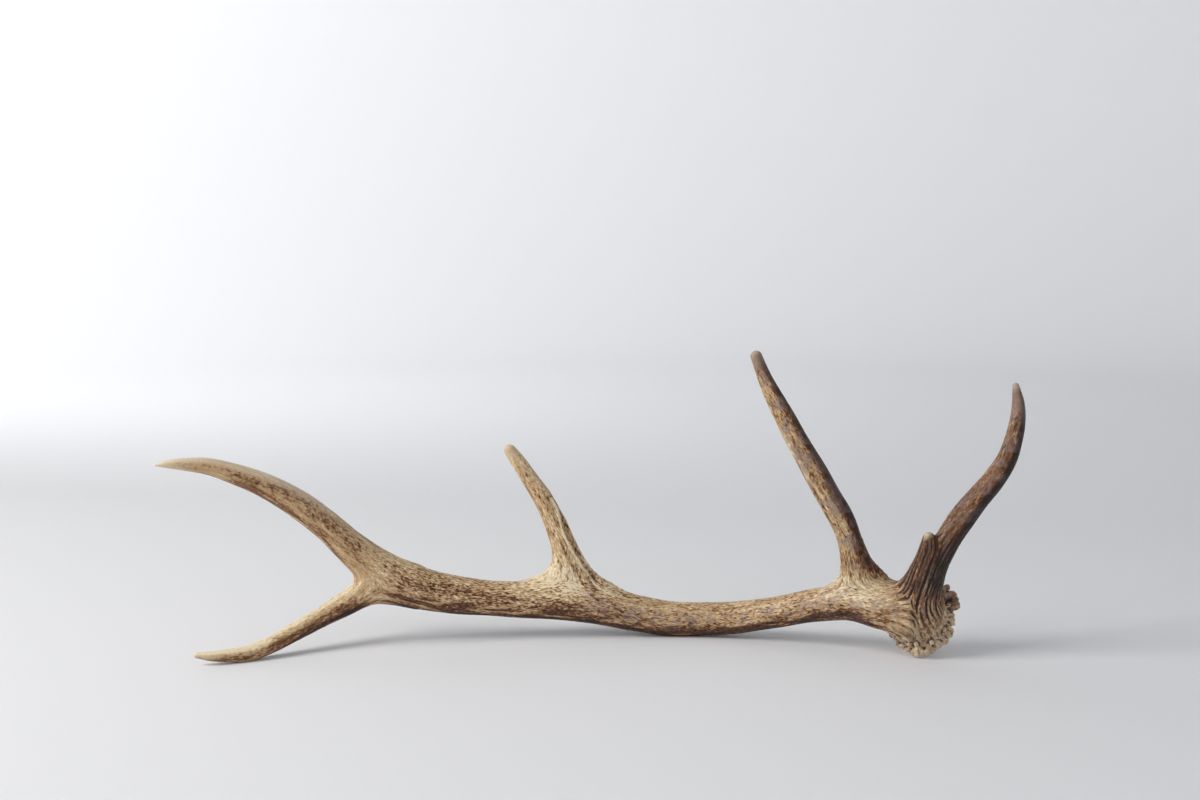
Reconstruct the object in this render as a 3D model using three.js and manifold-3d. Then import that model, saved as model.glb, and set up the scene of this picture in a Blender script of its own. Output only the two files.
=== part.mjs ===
// A shed red deer antler, lying as it rests on a table: on its burr, on the belly of its beam and on its lowest tine.
// Units are millimetres. +Z is up, the beam runs along X with the burr at +X, and -Y is the side with the open view.
// The origin is at the centre of the bounding box in X and Y, on the table.
//
// The antler grew as one piece and forks four times. It is split at those forks by thin saw cuts, so each tine
// and each stretch of beam is a solid of its own.
import * as THREE from "three";
import { LoftGeometry } from "three/addons/geometries/LoftGeometry.js";
import { mergeVertices } from "three/addons/utils/BufferGeometryUtils.js";
import Module from "manifold-3d";

const KERF = 0.3; // width of the gap that a saw cut leaves between two pieces
const RING_STEP = 14; // distance between two sections of a limb
const SIDES = 16; // corners of a limb's section
const TIP_ANGLES = [30, 58, 80]; // degrees, the sections that round off a tip
const ROUGHNESS = 0.62;

// A limb's rows are [x, y, z, half width across the view, half depth along Y], from its root inside the fork to its tip.
const LIMBS = {
  beam: [
    [328, -40, 57, 25.5, 26],
    [298, -31, 54, 22, 22],
    [267, -17, 51, 20.5, 19.5],
    [233, 5, 44, 17.5, 18],
    [198, 25, 32, 16.5, 17],
    [162, 40, 23, 17, 17],
    [124, 49, 18.5, 17.5, 17.5],
    [85, 52, 18.1, 18.5, 18.5],
    [47, 52, 24, 19.5, 19],
    [9, 50, 32, 20, 19.5],
    [-34, 47, 38.5, 20, 19.5],
    [-73, 43, 41, 19.5, 18.5],
    [-109, 39, 43.5, 19, 18.5],
    [-150, 33, 50, 20.5, 18.5],
    [-190, 26, 62.5, 22.5, 18.5],
    [-225, 20, 81.5, 22, 18],
    [-253, 14, 105, 18, 16],
    [-277, 8, 129, 15.5, 15],
    [-305, 1, 152, 14.5, 14],
    [-336, -7, 171, 12.5, 12.5],
    [-370, -15, 186, 10.5, 10.5],
    [-399, -22, 193, 7, 7.5],
    [-420, -27, 196, 4, 4.5],
    [-439, -31, 199, 2.2, 2.2],
  ],
  brow: [
    [332, -36, 54, 26, 22],
    [341, -37, 83, 18.5, 18],
    [350, -38, 101, 15.5, 16],
    [363, -40, 124, 13.5, 14.5],
    [374, -42, 144, 13, 13],
    [388, -43, 164, 12, 12],
    [405, -43, 185, 11.5, 11],
    [418, -41, 205, 10.5, 10],
    [425, -38, 225, 8.7, 9],
    [430, -33, 244, 7.5, 7.5],
    [431, -28, 261, 6.2, 6.2],
    [428, -24, 276, 3.2, 3.2],
  ],
  snag: [
    [333, -41, 69, 12, 10],
    [335, -45, 96, 9, 9],
    [337, -48, 116, 7, 7.5],
    [337, -49, 126, 5, 5],
  ],
  bez: [
    [279, -18, 53, 35, 18.5],
    [278, -19, 64, 30, 17],
    [275, -20, 77, 20.5, 16],
    [272, -21, 93, 16, 14.5],
    [265, -24, 118, 13, 13],
    [256, -27, 141, 12.5, 12],
    [244, -30, 162, 12.5, 12],
    [232, -32, 183, 12.5, 12],
    [220, -33, 204, 11.8, 11.5],
    [208, -34, 224, 11.5, 11],
    [197, -34, 245, 10.5, 10],
    [186, -33, 265, 9, 8.7],
    [175, -31, 285, 7.5, 7.5],
    [167, -29, 308, 5.6, 5.6],
  ],
  trez: [
    [-20, 47, 44, 42, 18],
    [-21, 48, 57, 31, 16],
    [-23, 49, 67, 22, 14.5],
    [-25, 49, 78, 16.5, 13.5],
    [-30, 50, 99, 13, 12.5],
    [-40, 52, 125, 12, 11],
    [-51, 54, 147, 10.5, 10.5],
    [-65, 56, 168, 9, 9],
    [-79, 57, 189, 8, 8],
    [-87, 57, 200, 6.4, 6.4],
  ],
  crown_fork: [
    [-190, 26, 59, 22, 17],
    [-224, 21, 62.5, 20.5, 15],
    [-243, 16, 55.5, 14.5, 13.5],
    [-258, 11, 47, 12, 12.5],
    [-277, 1, 37, 11, 11.5],
    [-300, -15, 25, 10, 10],
    [-326, -35, 13.5, 9, 9],
    [-347, -49, 7.8, 8.5, 8],
    [-364, -58, 8, 6.5, 6.5],
    [-381, -65, 9, 5, 5],
    [-396, -69, 11, 3, 3],
  ],
};

// The burr is a knobbly ring round an oval base. Its rows are [height along its axis, half length, half width, depth of
// the knobs], from the middle of the seal, where the antler broke off the skull, up to the trunk.
const BURR_CENTRE = new THREE.Vector3(337, -19, 36.4);
const BURR_AXIS = new THREE.Vector3(-0.273, -0.792, 0.545).normalize();
const BURR_ROWS = [
  [-7, 9, 8, 0],
  [-5, 22, 19, 0],
  [-1.5, 34, 30, 0],
  [-1, 40, 34.5, 1],
  [2.5, 44, 38, 2.3],
  [6.5, 43, 37, 2.3],
  [10, 38, 33.5, 1.2],
  [17, 33, 29, 0],
  [26, 29, 26, 0],
  [36, 22, 21, 0],
];
const BURR_KNOBS = 15;
const BURR_SIDES = 60;

// Saw cuts: a disc's centre, the direction that it faces and its radius.
const CUTS = [
  { at: [342, -38, 92], facing: [0.4, 0, 1], radius: 34 },
  { at: [291, -28, 52], facing: [0.966, 0, -0.26], radius: 46 },
  { at: [274, -20, 87], facing: [-0.25, -0.1, 1], radius: 30 },
  { at: [240, 0, 46], facing: [-0.83, 0.52, -0.2], radius: 30 },
  { at: [-24, 48, 74], facing: [-0.2, 0.05, 1], radius: 30 },
  { at: [-72, 43, 41], facing: [-1, -0.1, 0.07], radius: 30 },
  { at: [-261, 12, 113], facing: [-0.7, -0.18, 0.69], radius: 30 },
  { at: [-262, 9, 45], facing: [-0.8, -0.38, -0.46], radius: 20 },
];

// Each piece's colour, and a point inside it by which it is told from the others after the cuts.
const PIECES = {
  burr_base: { colour: 0x8f7b61, inside: [327, -40, 60] },
  brow_tine: { colour: 0x85705a, inside: [374, -42, 144] },
  beam_lower: { colour: 0xa08a66, inside: [267, -17, 51] },
  bez_tine: { colour: 0x8d7555, inside: [256, -27, 141] },
  beam_middle: { colour: 0x9c845f, inside: [85, 52, 18] },
  trez_tine: { colour: 0xa89470, inside: [-40, 52, 125] },
  beam_upper: { colour: 0x9f8862, inside: [-150, 33, 50] },
  crown_top_tine: { colour: 0xa7977b, inside: [-305, 1, 152] },
  crown_low_tine: { colour: 0xa18d69, inside: [-300, -15, 25] },
};

const wasm = await Module();
wasm.setup();

function solidOf(geometry) {
  const bare = new THREE.BufferGeometry();
  bare.setAttribute("position", geometry.getAttribute("position"));
  bare.setIndex(geometry.index);
  const merged = mergeVertices(bare, 1e-4);
  const mesh = new wasm.Mesh({
    numProp: 3,
    vertProperties: merged.attributes.position.array,
    triVerts: new Uint32Array(merged.index.array),
  });
  return new wasm.Manifold(mesh);
}

function geometryOf(solid) {
  const mesh = solid.getMesh();
  const geometry = new THREE.BufferGeometry();
  geometry.setAttribute("position", new THREE.BufferAttribute(mesh.vertProperties, 3));
  geometry.setIndex(new THREE.BufferAttribute(mesh.triVerts, 1));
  geometry.computeVertexNormals();
  return geometry;
}

// An oval of points round a centre, in the plane of two unit vectors whose cross product points along the limb.
function oval(centre, across, deep, halfWidth, halfDepth, sides) {
  return Array.from({ length: sides }, (_, i) => {
    const angle = (2 * Math.PI * i) / sides;
    return centre
      .clone()
      .addScaledVector(across, halfWidth * Math.cos(angle))
      .addScaledVector(deep, halfDepth * Math.sin(angle));
  });
}

function limbSection(centre, tangent, halfWidth, halfDepth) {
  const across = new THREE.Vector3(0, 1, 0).cross(tangent).normalize();
  const deep = tangent.clone().cross(across);
  return oval(centre, across, deep, halfWidth, halfDepth, SIDES);
}

// A limb is a loft along a smooth curve through its rows, closed by a flat root and a rounded tip.
function limb(rows) {
  const points = rows.map(([x, y, z]) => new THREE.Vector3(x, y, z));
  const sizes = rows.map(([, , , wide, deep]) => new THREE.Vector3(wide, deep, 0));
  const centreline = new THREE.CatmullRomCurve3(points, false, "catmullrom", 0.5);
  const size = new THREE.CatmullRomCurve3(sizes, false, "catmullrom", 0.5);
  const rings = Math.round(centreline.getLength() / RING_STEP);
  const sections = [];
  for (let i = 0; i <= rings; i++) {
    const t = centreline.getUtoTmapping(i / rings);
    const { x: wide, y: deep } = size.getPoint(t);
    sections.push(limbSection(centreline.getPoint(t), centreline.getTangent(t), wide, deep));
  }
  const end = centreline.getPoint(1);
  const tangent = centreline.getTangent(1);
  const [, , , wide, deep] = rows.at(-1);
  for (const degrees of TIP_ANGLES) {
    const angle = THREE.MathUtils.degToRad(degrees);
    const centre = end.clone().addScaledVector(tangent, wide * Math.sin(angle));
    sections.push(limbSection(centre, tangent, wide * Math.cos(angle), deep * Math.cos(angle)));
  }
  return solidOf(new LoftGeometry(sections, { capStart: true, capEnd: true }));
}

function burr() {
  const level = new THREE.Vector3(0, 0, 1).cross(BURR_AXIS).normalize();
  const steep = BURR_AXIS.clone().cross(level);
  const sections = BURR_ROWS.map(([height, long, short, knob]) => {
    const centre = BURR_CENTRE.clone().addScaledVector(BURR_AXIS, height);
    return oval(centre, level, steep, short, long, BURR_SIDES).map((point, i) => {
      const swell = -knob * Math.cos((2 * Math.PI * BURR_KNOBS * i) / BURR_SIDES);
      return point.addScaledVector(point.clone().sub(centre).normalize(), swell);
    });
  });
  return solidOf(new LoftGeometry(sections, { capStart: true, capEnd: true }));
}

function sawCut({ at, facing, radius }) {
  const disc = new THREE.CylinderGeometry(radius, radius, KERF, 48);
  const up = new THREE.Vector3(0, 1, 0);
  const ahead = new THREE.Vector3(...facing).normalize();
  disc.applyQuaternion(new THREE.Quaternion().setFromUnitVectors(up, ahead));
  disc.translate(...at);
  return solidOf(disc);
}

// Everything under the table's surface, which leaves a small flat on each of the three places that touch it.
function table() {
  const slab = new THREE.BoxGeometry(1200, 400, 100);
  slab.translate(0, 0, -50);
  return solidOf(slab);
}

// The distance from a point to the nearest corner of a solid.
function distanceTo(solid, [x, y, z]) {
  const point = new THREE.Vector3(x, y, z);
  const { vertProperties } = solid.getMesh();
  let nearest = Infinity;
  for (let i = 0; i < vertProperties.length; i += 3) {
    const corner = new THREE.Vector3().fromArray(vertProperties, i);
    nearest = Math.min(nearest, corner.distanceTo(point));
  }
  return nearest;
}

const grown = Object.values(LIMBS)
  .map(limb)
  .reduce((whole, next) => whole.add(next), burr());
const sawn = CUTS.map(sawCut).reduce((whole, cut) => whole.subtract(cut), grown.subtract(table()));
const solids = sawn.decompose();

const antler = new THREE.Group();
antler.name = "deer_antler";
for (const [name, { colour, inside }] of Object.entries(PIECES)) {
  const solid = solids.reduce((a, b) => (distanceTo(a, inside) < distanceTo(b, inside) ? a : b));
  const material = new THREE.MeshStandardMaterial({ color: colour, roughness: ROUGHNESS, metalness: 0 });
  const mesh = new THREE.Mesh(geometryOf(solid), material);
  mesh.name = name;
  antler.add(mesh);
}

export default antler;
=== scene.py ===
"""A shed red deer antler on a pale floor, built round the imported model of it.

The bone is one smooth body: limbs with oval sections, blended where they fork, and a knobbly burr. It is
meshed from its distance field. Furrows, pits and small lumps are pressed into the mesh, which is then parted
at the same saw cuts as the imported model. Shapes are in millimetres and turned into metres at the end.
"""

from types import SimpleNamespace

import bpy  # noqa: E402
import numpy as np  # noqa: E402
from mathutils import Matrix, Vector  # noqa: E402


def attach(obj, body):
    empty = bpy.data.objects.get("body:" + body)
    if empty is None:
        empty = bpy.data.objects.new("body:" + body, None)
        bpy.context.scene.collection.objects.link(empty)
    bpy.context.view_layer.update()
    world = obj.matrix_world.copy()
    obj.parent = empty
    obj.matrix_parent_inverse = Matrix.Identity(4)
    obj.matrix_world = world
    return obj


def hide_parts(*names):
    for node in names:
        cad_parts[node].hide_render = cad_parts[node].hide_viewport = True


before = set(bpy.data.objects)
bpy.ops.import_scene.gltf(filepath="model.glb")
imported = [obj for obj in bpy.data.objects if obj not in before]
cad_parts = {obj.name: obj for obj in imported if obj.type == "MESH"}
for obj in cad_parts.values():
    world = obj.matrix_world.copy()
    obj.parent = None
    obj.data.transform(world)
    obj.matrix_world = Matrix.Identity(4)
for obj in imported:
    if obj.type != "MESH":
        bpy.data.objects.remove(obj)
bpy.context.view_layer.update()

METRES = 0.001  # a millimetre in metres
FAR = 1000.0  # the distance given to points that are too far from a limb to matter

# The limbs: rows of [x, y, z, half width across the view, half depth along Y], from the root to the tip.
BEAM = [
    [324, -37, 50.5, 25, 22.5],
    [298, -31, 51, 23, 22],
    [267, -17, 52.5, 19, 19.5],
    [233, 5, 44, 17.5, 18],
    [198, 25, 32, 16.5, 17],
    [162, 40, 23, 17, 17],
    [124, 49, 18.5, 17.5, 17.5],
    [85, 52, 18.1, 18.5, 18.5],
    [47, 52, 24, 19.5, 19],
    [9, 50, 32, 20, 19.5],
    [-34, 47, 38.5, 20, 19.5],
    [-73, 43, 41, 19.5, 18.5],
    [-109, 39, 43.5, 19, 18.5],
    [-150, 33, 49.7, 20.7, 18.5],
    [-190, 26, 60.2, 22.2, 18.5],
    [-225, 20, 80.5, 20.8, 18],
    [-253, 14, 105, 17.4, 16],
    [-277, 8, 129, 15.5, 15],
    [-305, 1, 153, 14.3, 14],
    [-336, -7, 173, 12.3, 12.5],
    [-370, -15, 188, 10.2, 10.5],
    [-392, -20.5, 195.4, 8.2, 8.4],
    [-414, -26, 198.2, 6, 6.2],
    [-430, -29.5, 199, 4.4, 4.4],
    [-441, -31.5, 198.3, 1.8, 2],
]
BROW = [
    [335, -31, 38, 21, 17],
    [334, -38, 60, 22, 19],
    [341, -39, 83, 18.5, 18],
    [349.5, -38, 101, 15, 16],
    [362, -40, 124, 12.8, 14.5],
    [374, -42, 144, 13, 13],
    [388, -43, 164, 12, 12],
    [405.5, -43, 185, 11.1, 11],
    [418.5, -41, 205, 10.2, 10],
    [425.5, -38, 225, 8.9, 9],
    [430.5, -33, 244, 7.8, 7.5],
    [432, -28, 261, 6.3, 6.2],
    [430, -24, 278, 3.4, 3.2],
]
SNAG = [
    [331, -41, 69, 13, 11],
    [336.5, -46, 100, 10.3, 10],
    [340, -48, 117, 8.6, 8.5],
    [340, -49, 127, 6.0, 6.2],
]
BEZ = [
    [278.5, -17, 54, 32, 13],
    [278.5, -17, 64, 35.5, 14],
    [277.5, -19, 76, 27.5, 14.5],
    [272.5, -21, 93, 17.2, 14.5],
    [265, -24, 118, 13, 13],
    [256, -27, 141, 12.5, 12],
    [244, -30, 162, 12.5, 12],
    [232, -32, 183, 12.5, 12],
    [220, -33, 204, 11.8, 11.5],
    [208, -34, 224, 11.5, 11],
    [197, -34, 245, 10.5, 10],
    [186, -33, 265, 9, 8.7],
    [175.5, -31, 286, 7.7, 7.6],
    [166.5, -29, 308.5, 6.1, 6],
]
TREZ = [
    [-24, 47, 40, 74, 11],
    [-24, 47, 46, 60, 11],
    [-24, 48, 56, 46, 12.5],
    [-24, 49, 66, 30.5, 13],
    [-25, 49, 79, 19.5, 13],
    [-30, 50, 99, 13.6, 12.3],
    [-40, 52, 125, 12, 11],
    [-51, 54, 147, 10.5, 10.5],
    [-65, 56, 168, 9, 9],
    [-79, 57, 189, 8, 8],
    [-87, 57, 200, 6.4, 6.4],
]
CROWN = [
    [-186, 27, 59.5, 17, 11.5],
    [-204, 24, 61, 17.5, 11.5],
    [-226, 20, 60, 17.5, 12.5],
    [-243, 16, 52.8, 14.3, 13],
    [-258, 11, 44.2, 12.6, 12.5],
    [-277, 1, 35.4, 11, 11.5],
    [-300, -15, 25, 10, 10],
    [-326, -35, 13.5, 9, 9],
    [-347, -49, 7.8, 8.5, 8],
    [-364, -58, 8, 6.5, 6.5],
    [-381, -65, 9, 5, 5],
    [-396, -69, 11, 3, 3],
]
CURVE_STEP = 4.0  # length of a limb's straight segments
REACH = 26.0  # how far outside a limb its distance is worked out
CHUNK = 4  # segments of a limb that are measured together

# How widely each limb is blended into what is there before it, in this order.
BLENDS = {"brow": 14.0, "snag": 11.0, "bez": 15.0, "trez": 16.0, "crown": 15.0}
COLLAR_BLEND = 20.0
KNOB_BLEND = 1.0
ROOT_CAP = 6.0  # how far a limb's root bulges past its first row
JOINT_CAP = 9.0  # how far a segment bulges past its ends inside a limb

# The burr: an oval base that faces along its axis, from the seal on the skull's side up to the trunk.
BURR_CENTRE = np.array([339.5, -19.0, 36.6])
BURR_AXIS = np.array([-0.273, -0.792, 0.545])
BURR_TURN = np.radians(10)  # turns the oval in its own plane
BURR_ROWS = [[0, 34, 30.5], [6, 35, 31], [13, 32, 28.5], [22, 27.5, 25]]  # height, half length, half width
SEAL_DEPTH = 7.0  # how far the seal bulges out under the burr
COLLAR_FADE = 16.0  # how gently the base runs out inside the trunk
RIM_LONG, RIM_SHORT = 37.5, 33.0  # the oval that the knobs' ends stand on
RIM_KNOBS = 40
TWIN_CHANCE = 0.7  # how likely a rim knob is to have a smaller one under it
LOWER_BEADS = 27
COLLAR_BUMPS = 60
BURR_REACH = 70.0  # how far from the burr's centre its distance is worked out
KNOB_REACH = 5.0  # how far outside a knob its distance is worked out

# The rim's largest knob: where it is round the rim, and its lumps. A lump runs from a root to a head, each
# given as height, angle from BIG_KNOB and share of the rim's radius. Its radius at both ends comes last.
BIG_KNOB = np.radians(18)
BIG_KNOB_LUMPS = [
    [11, 0.14, 0.95, 7, 0.13, 1.16, 4.2, 5.3],
    [9, -0.10, 0.95, 5.5, -0.12, 1.15, 4.0, 5.0],
    [8, 0, 1.05, 8.5, 0, 1.21, 3.0, 3.6],
    [13, 0.42, 0.90, 10, 0.34, 1.16, 2.6, 3.4],
]

GRID_STEP = 1.56  # spacing of the field that the surface is drawn from, twice that of the final mesh
GRID_LOW = np.array([-452.0, -84.0, -6.0])
GRID_HIGH = np.array([448.0, 84.0, 324.0])
GRID_COUNTS = np.round((GRID_HIGH - GRID_LOW) / GRID_STEP).astype(int) + 1
EVENINGS = 2  # how often the mesh is evened out, and then again after it is split
COARSE_SHARE = 0.6  # how far a vertex then moves towards the middle of its neighbours, before the split
FINE_SHARE = 0.35  # and after it

# Saw cuts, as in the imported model: a point and the direction the cut faces.
CUTS = {
    "brow": ([342, -38, 92], [0.4, 0, 1]),
    "burr": ([291, -28, 52], [0.966, 0, -0.26]),
    "bez": ([274, -20, 87], [-0.25, -0.1, 1]),
    "lower": ([240, 0, 46], [-0.83, 0.52, -0.2]),
    "trez": ([-24, 48, 74], [-0.2, 0.05, 1]),
    "upper": ([-72, 43, 41], [-1, -0.1, 0.07]),
    "crown_top": ([-261, 12, 113], [-0.7, -0.18, 0.69]),
    "crown_low": ([-262, 9, 45], [-0.8, -0.38, -0.46]),
}
PIECES = [
    "burr_base",
    "brow_tine",
    "beam_lower",
    "bez_tine",
    "beam_middle",
    "trez_tine",
    "beam_upper",
    "crown_top_tine",
    "crown_low_tine",
]


# Large numbers that scramble a grid corner's whole numbers and a seed into one random number.
HASH_CELL = np.array([73856093, 19349663, 83492791])
HASH_SEED = 40503
HASH_MIX = (1274126177, 2246822519)


def unit(vectors):
    """The vectors, each made one unit long."""
    return vectors / np.maximum(np.linalg.norm(vectors, axis=-1, keepdims=True), 1e-9)


def ease(values, low, high):
    """A smooth step from 0 at low to 1 at high, which may be the smaller number."""
    t = np.clip((values - low) / (high - low), 0, 1)
    return t * t * (3 - 2 * t)


def bell(values, middle, width):
    """A smooth bump of 1 at the middle that is down to about a third at a width from it."""
    return np.exp(-(((values - middle) / width) ** 2))


def inside_box(points, low, high):
    """The numbers of the points that lie between two corners."""
    return np.flatnonzero(((points > low) & (points < high)).all(1))


def noise(points, seed):
    """Smooth random values from 0 to 1, one for each point, that change over about one unit."""
    cell = np.floor(points).astype(np.int64)
    part = points - cell
    part = part**3 * (part * (part * 6 - 15) + 10)
    total = np.zeros(len(points))
    for corner in range(8):
        offset = np.array([corner & 1, corner >> 1 & 1, corner >> 2])
        key = (cell + offset) * HASH_CELL
        mixed = key[:, 0] ^ key[:, 1] ^ key[:, 2] ^ (seed * HASH_SEED)
        mixed = ((mixed ^ (mixed >> 13)) * HASH_MIX[0]) & 0xFFFFFFFF
        mixed = ((mixed ^ (mixed >> 15)) * HASH_MIX[1]) & 0xFFFFFFFF
        weight = np.where(offset, part, 1 - part).prod(1)
        total += weight * ((mixed ^ (mixed >> 16)) & 0xFFFF) / 65535
    return total


def beside(points, path):
    """Distance of points from a path in X and Z, negative on the right of its direction, and their place
    along it from 0 to 1."""
    flat = points[:, [0, 2]]
    path = np.array(path, float)
    nearest, along = np.full(len(flat), FAR), np.zeros(len(flat))
    for i, (start, end) in enumerate(zip(path, path[1:])):
        step = end - start
        t = np.clip((flat - start) @ step / (step @ step), 0, 1)
        gap = flat - start - t[:, None] * step
        away = np.linalg.norm(gap, axis=1)
        closer = away < np.abs(nearest)
        side = np.where(step[0] * gap[:, 1] - step[1] * gap[:, 0] < 0, -1, 1)
        nearest = np.where(closer, away * side, nearest)
        along = np.where(closer, (i + t) / (len(path) - 1), along)
    return nearest, along


def smooth_min(a, b, blend):
    """The smaller of two distances, rounded off where they are less than blend apart."""
    close = np.maximum(blend - np.abs(a - b), 0) / blend
    return np.minimum(a, b) - close * close * blend / 4


class Limb:
    """A bent, tapering limb, made of short straight segments with oval sections."""

    def __init__(self, rows):
        rows = np.array(rows, float)
        ends = np.vstack([2 * rows[0] - rows[1], rows, 2 * rows[-1] - rows[-2]])
        samples = []
        for p0, p1, p2, p3 in zip(ends, ends[1:], ends[2:], ends[3:]):
            count = max(1, round(float(np.linalg.norm(p2[:3] - p1[:3])) / CURVE_STEP))
            t = (np.arange(count) / count)[:, None]
            curve = 2 * p1 + (p2 - p0) * t + (2 * p0 - 5 * p1 + 4 * p2 - p3) * t**2
            samples.append((curve + (3 * p1 - p0 - 3 * p2 + p3) * t**3) / 2)
        curve = np.vstack([*samples, rows[-1:]])
        self.centre = curve[:, :3]
        self.size = curve[:, 3:]
        steps = np.linalg.norm(np.diff(self.centre, axis=0), axis=1)
        self.along = np.concatenate([[0], np.cumsum(steps)])
        self.length = self.along[-1]
        tangent = unit(np.diff(self.centre, axis=0))
        across = unit(np.cross([0.0, 1.0, 0.0], tangent))
        self.axes = np.stack([tangent, across, np.cross(tangent, across)], 1)

    def chunks(self):
        """Stretches of the limb, each with its segments and the box that they can be felt in."""
        for first in range(0, len(self.axes), CHUNK):
            last = min(first + CHUNK, len(self.axes))
            points = self.centre[first : last + 1]
            reach = self.size[first : last + 1].max() + REACH
            yield first, last, points.min(0) - reach, points.max(0) + reach

    def segment(self, points, i):
        """Distance of points from a segment's surface, and where they are along it."""
        start, step = self.centre[i], self.centre[i + 1] - self.centre[i]
        t = np.clip((points - start) @ step / (step @ step), 0, 1)
        offset = points - start - t[:, None] * step
        along, across, deep = (offset @ self.axes[i].T).T
        wide, thick = (self.size[i] + t[:, None] * (self.size[i + 1] - self.size[i])).T
        away = np.sqrt(along**2 + across**2 + deep**2)
        ahead = wide if i == len(self.axes) - 1 else np.minimum(wide, JOINT_CAP)
        behind = np.minimum(np.minimum(wide, JOINT_CAP), ROOT_CAP + self.along[i])
        cap = np.where(along < 0, behind, ahead)
        oval = np.sqrt((along / cap) ** 2 + (across / wide) ** 2 + (deep / thick) ** 2)
        distance = away * (1 - 1 / np.maximum(oval, 1e-4))
        return distance, self.along[i] + t * (self.along[i + 1] - self.along[i])

    def field(self, points, first, last):
        return np.minimum.reduce([self.segment(points, i)[0] for i in range(first, last)])

    def measure(self, points):
        """Each point's distance from the surface, its place along the limb and the limb's direction there."""
        distances = np.full(len(points), FAR)
        places = np.zeros(len(points))
        tangents = np.zeros((len(points), 3))
        for first, last, low, high in self.chunks():
            near = inside_box(points, low, high)
            if near.size == 0:
                continue
            for i in range(first, last):
                distance, along = self.segment(points[near], i)
                closer = distance < distances[near]
                mine = near[closer]
                distances[mine] = distance[closer]
                places[mine] = along[closer]
                tangents[mine] = self.axes[i, 0]
        return distances, places, tangents


class Burr:
    """The base's flared collar and seal, with knobs round its rim."""

    def __init__(self):
        axis = unit(BURR_AXIS)
        level = unit(np.cross([0.0, 0.0, 1.0], axis))
        steep = np.cross(axis, level)
        level = level * np.cos(BURR_TURN) + steep * np.sin(BURR_TURN)
        self.axes = np.stack([axis, level, np.cross(axis, level)])
        self.knobs = [*self.rim_knobs(), *self.beads()]
        self.low = BURR_CENTRE - BURR_REACH
        self.high = BURR_CENTRE + BURR_REACH

    def place(self, height, angle, share):
        """A point at a height over the rim, at an angle round it and at a share of its radius."""
        level = RIM_SHORT * share * np.cos(angle)
        steep = RIM_LONG * share * np.sin(angle)
        return BURR_CENTRE + height * self.axes[0] + level * self.axes[1] + steep * self.axes[2]

    def rim_knobs(self):
        """Ridges down the collar that end in rounded knobs, some of them in pairs, and the big knob."""
        random = np.random.default_rng(11)
        angles = np.arange(RIM_KNOBS) + random.uniform(-0.3, 0.3, RIM_KNOBS)
        for angle in angles * 2 * np.pi / RIM_KNOBS:
            ridge = 0.5 + 0.5 * np.cos(angle)  # long ridges on one side of the burr, short knobs on the other
            radius = random.uniform(1.9, 3.1) + 1.1 * ridge
            root = self.place(6 + 5 * ridge, angle + random.uniform(-0.12, 0.12), 0.97 - 0.11 * ridge)
            head = self.place(random.uniform(1.5, 5.0), angle, random.uniform(0.97, 1.05))
            yield root, head, radius * random.uniform(0.45, 0.75), radius
            if random.random() < TWIN_CHANCE:
                twin = self.place(random.uniform(-3.5, -0.5), angle + random.uniform(-0.09, 0.09), 0.98)
                yield twin, twin + 0.6, radius * 0.6, radius * random.uniform(0.65, 0.9)
        for low, low_turn, low_share, high, high_turn, high_share, thin, thick in BIG_KNOB_LUMPS:
            root = self.place(low, BIG_KNOB + low_turn, low_share)
            head = self.place(high, BIG_KNOB + high_turn, high_share)
            yield root, head, thin, thick

    def beads(self):
        """Beads under the rim, and bumps over the collar."""
        random = np.random.default_rng(12)
        for i in range(LOWER_BEADS):
            angle = (i + random.uniform(-0.3, 0.3)) * 2 * np.pi / LOWER_BEADS
            spot = self.place(random.uniform(-4.5, -1.5), angle, random.uniform(0.86, 0.96))
            yield spot, spot + 0.5, 2.4, random.uniform(2.2, 3.6)
        for _ in range(COLLAR_BUMPS):
            spot = self.place(random.uniform(5, 15), random.uniform(0, 2 * np.pi), random.uniform(0.84, 0.93))
            yield spot, spot + 0.5, 1.6, random.uniform(1.6, 2.8)

    def local(self, points):
        """Points in the burr's own frame: height along its axis, then its short and its long way across."""
        return (points - BURR_CENTRE) @ self.axes.T

    def collar(self, points):
        """Distance of points from the collar and the seal, without the knobs."""
        height, level, steep = self.local(points).T
        rows = np.array(BURR_ROWS, float)
        long = np.interp(height, rows[:, 0], rows[:, 1])
        short = np.interp(height, rows[:, 0], rows[:, 2])
        under = np.minimum(height - rows[0, 0], 0)
        over = np.maximum(height - rows[-1, 0], 0)
        away = np.sqrt(under**2 + over**2 + level**2 + steep**2)
        ends = (under / SEAL_DEPTH) ** 2 + (over / COLLAR_FADE) ** 2
        oval = np.sqrt(ends + (level / short) ** 2 + (steep / long) ** 2)
        return away * (1 - 1 / np.maximum(oval, 1e-4))

    def add_knobs(self, points, field):
        """The field with every knob blended into it."""
        for root, head, thin, thick in self.knobs:
            reach = thick + KNOB_REACH
            low = np.minimum(root, head) - reach
            high = np.maximum(root, head) + reach
            near = inside_box(points, low, high)
            if near.size:
                step = head - root
                t = np.clip((points[near] - root) @ step / (step @ step), 0, 1)
                away = np.linalg.norm(points[near] - root - t[:, None] * step, axis=1)
                field[near] = smooth_min(field[near], away - thin - t * (thick - thin), KNOB_BLEND)
        return field


LIMB_ROWS = {"beam": BEAM, "brow": BROW, "snag": SNAG, "bez": BEZ, "trez": TREZ, "crown": CROWN}
LIMBS = {name: Limb(rows) for name, rows in LIMB_ROWS.items()}
BURR = Burr()


def blended(distances, collar):
    """The whole antler's distance from the distances of its limbs, without the burr's knobs."""
    field = smooth_min(distances["beam"], collar, COLLAR_BLEND)
    for name, blend in BLENDS.items():
        field = smooth_min(field, distances[name], blend)
    return field


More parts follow.
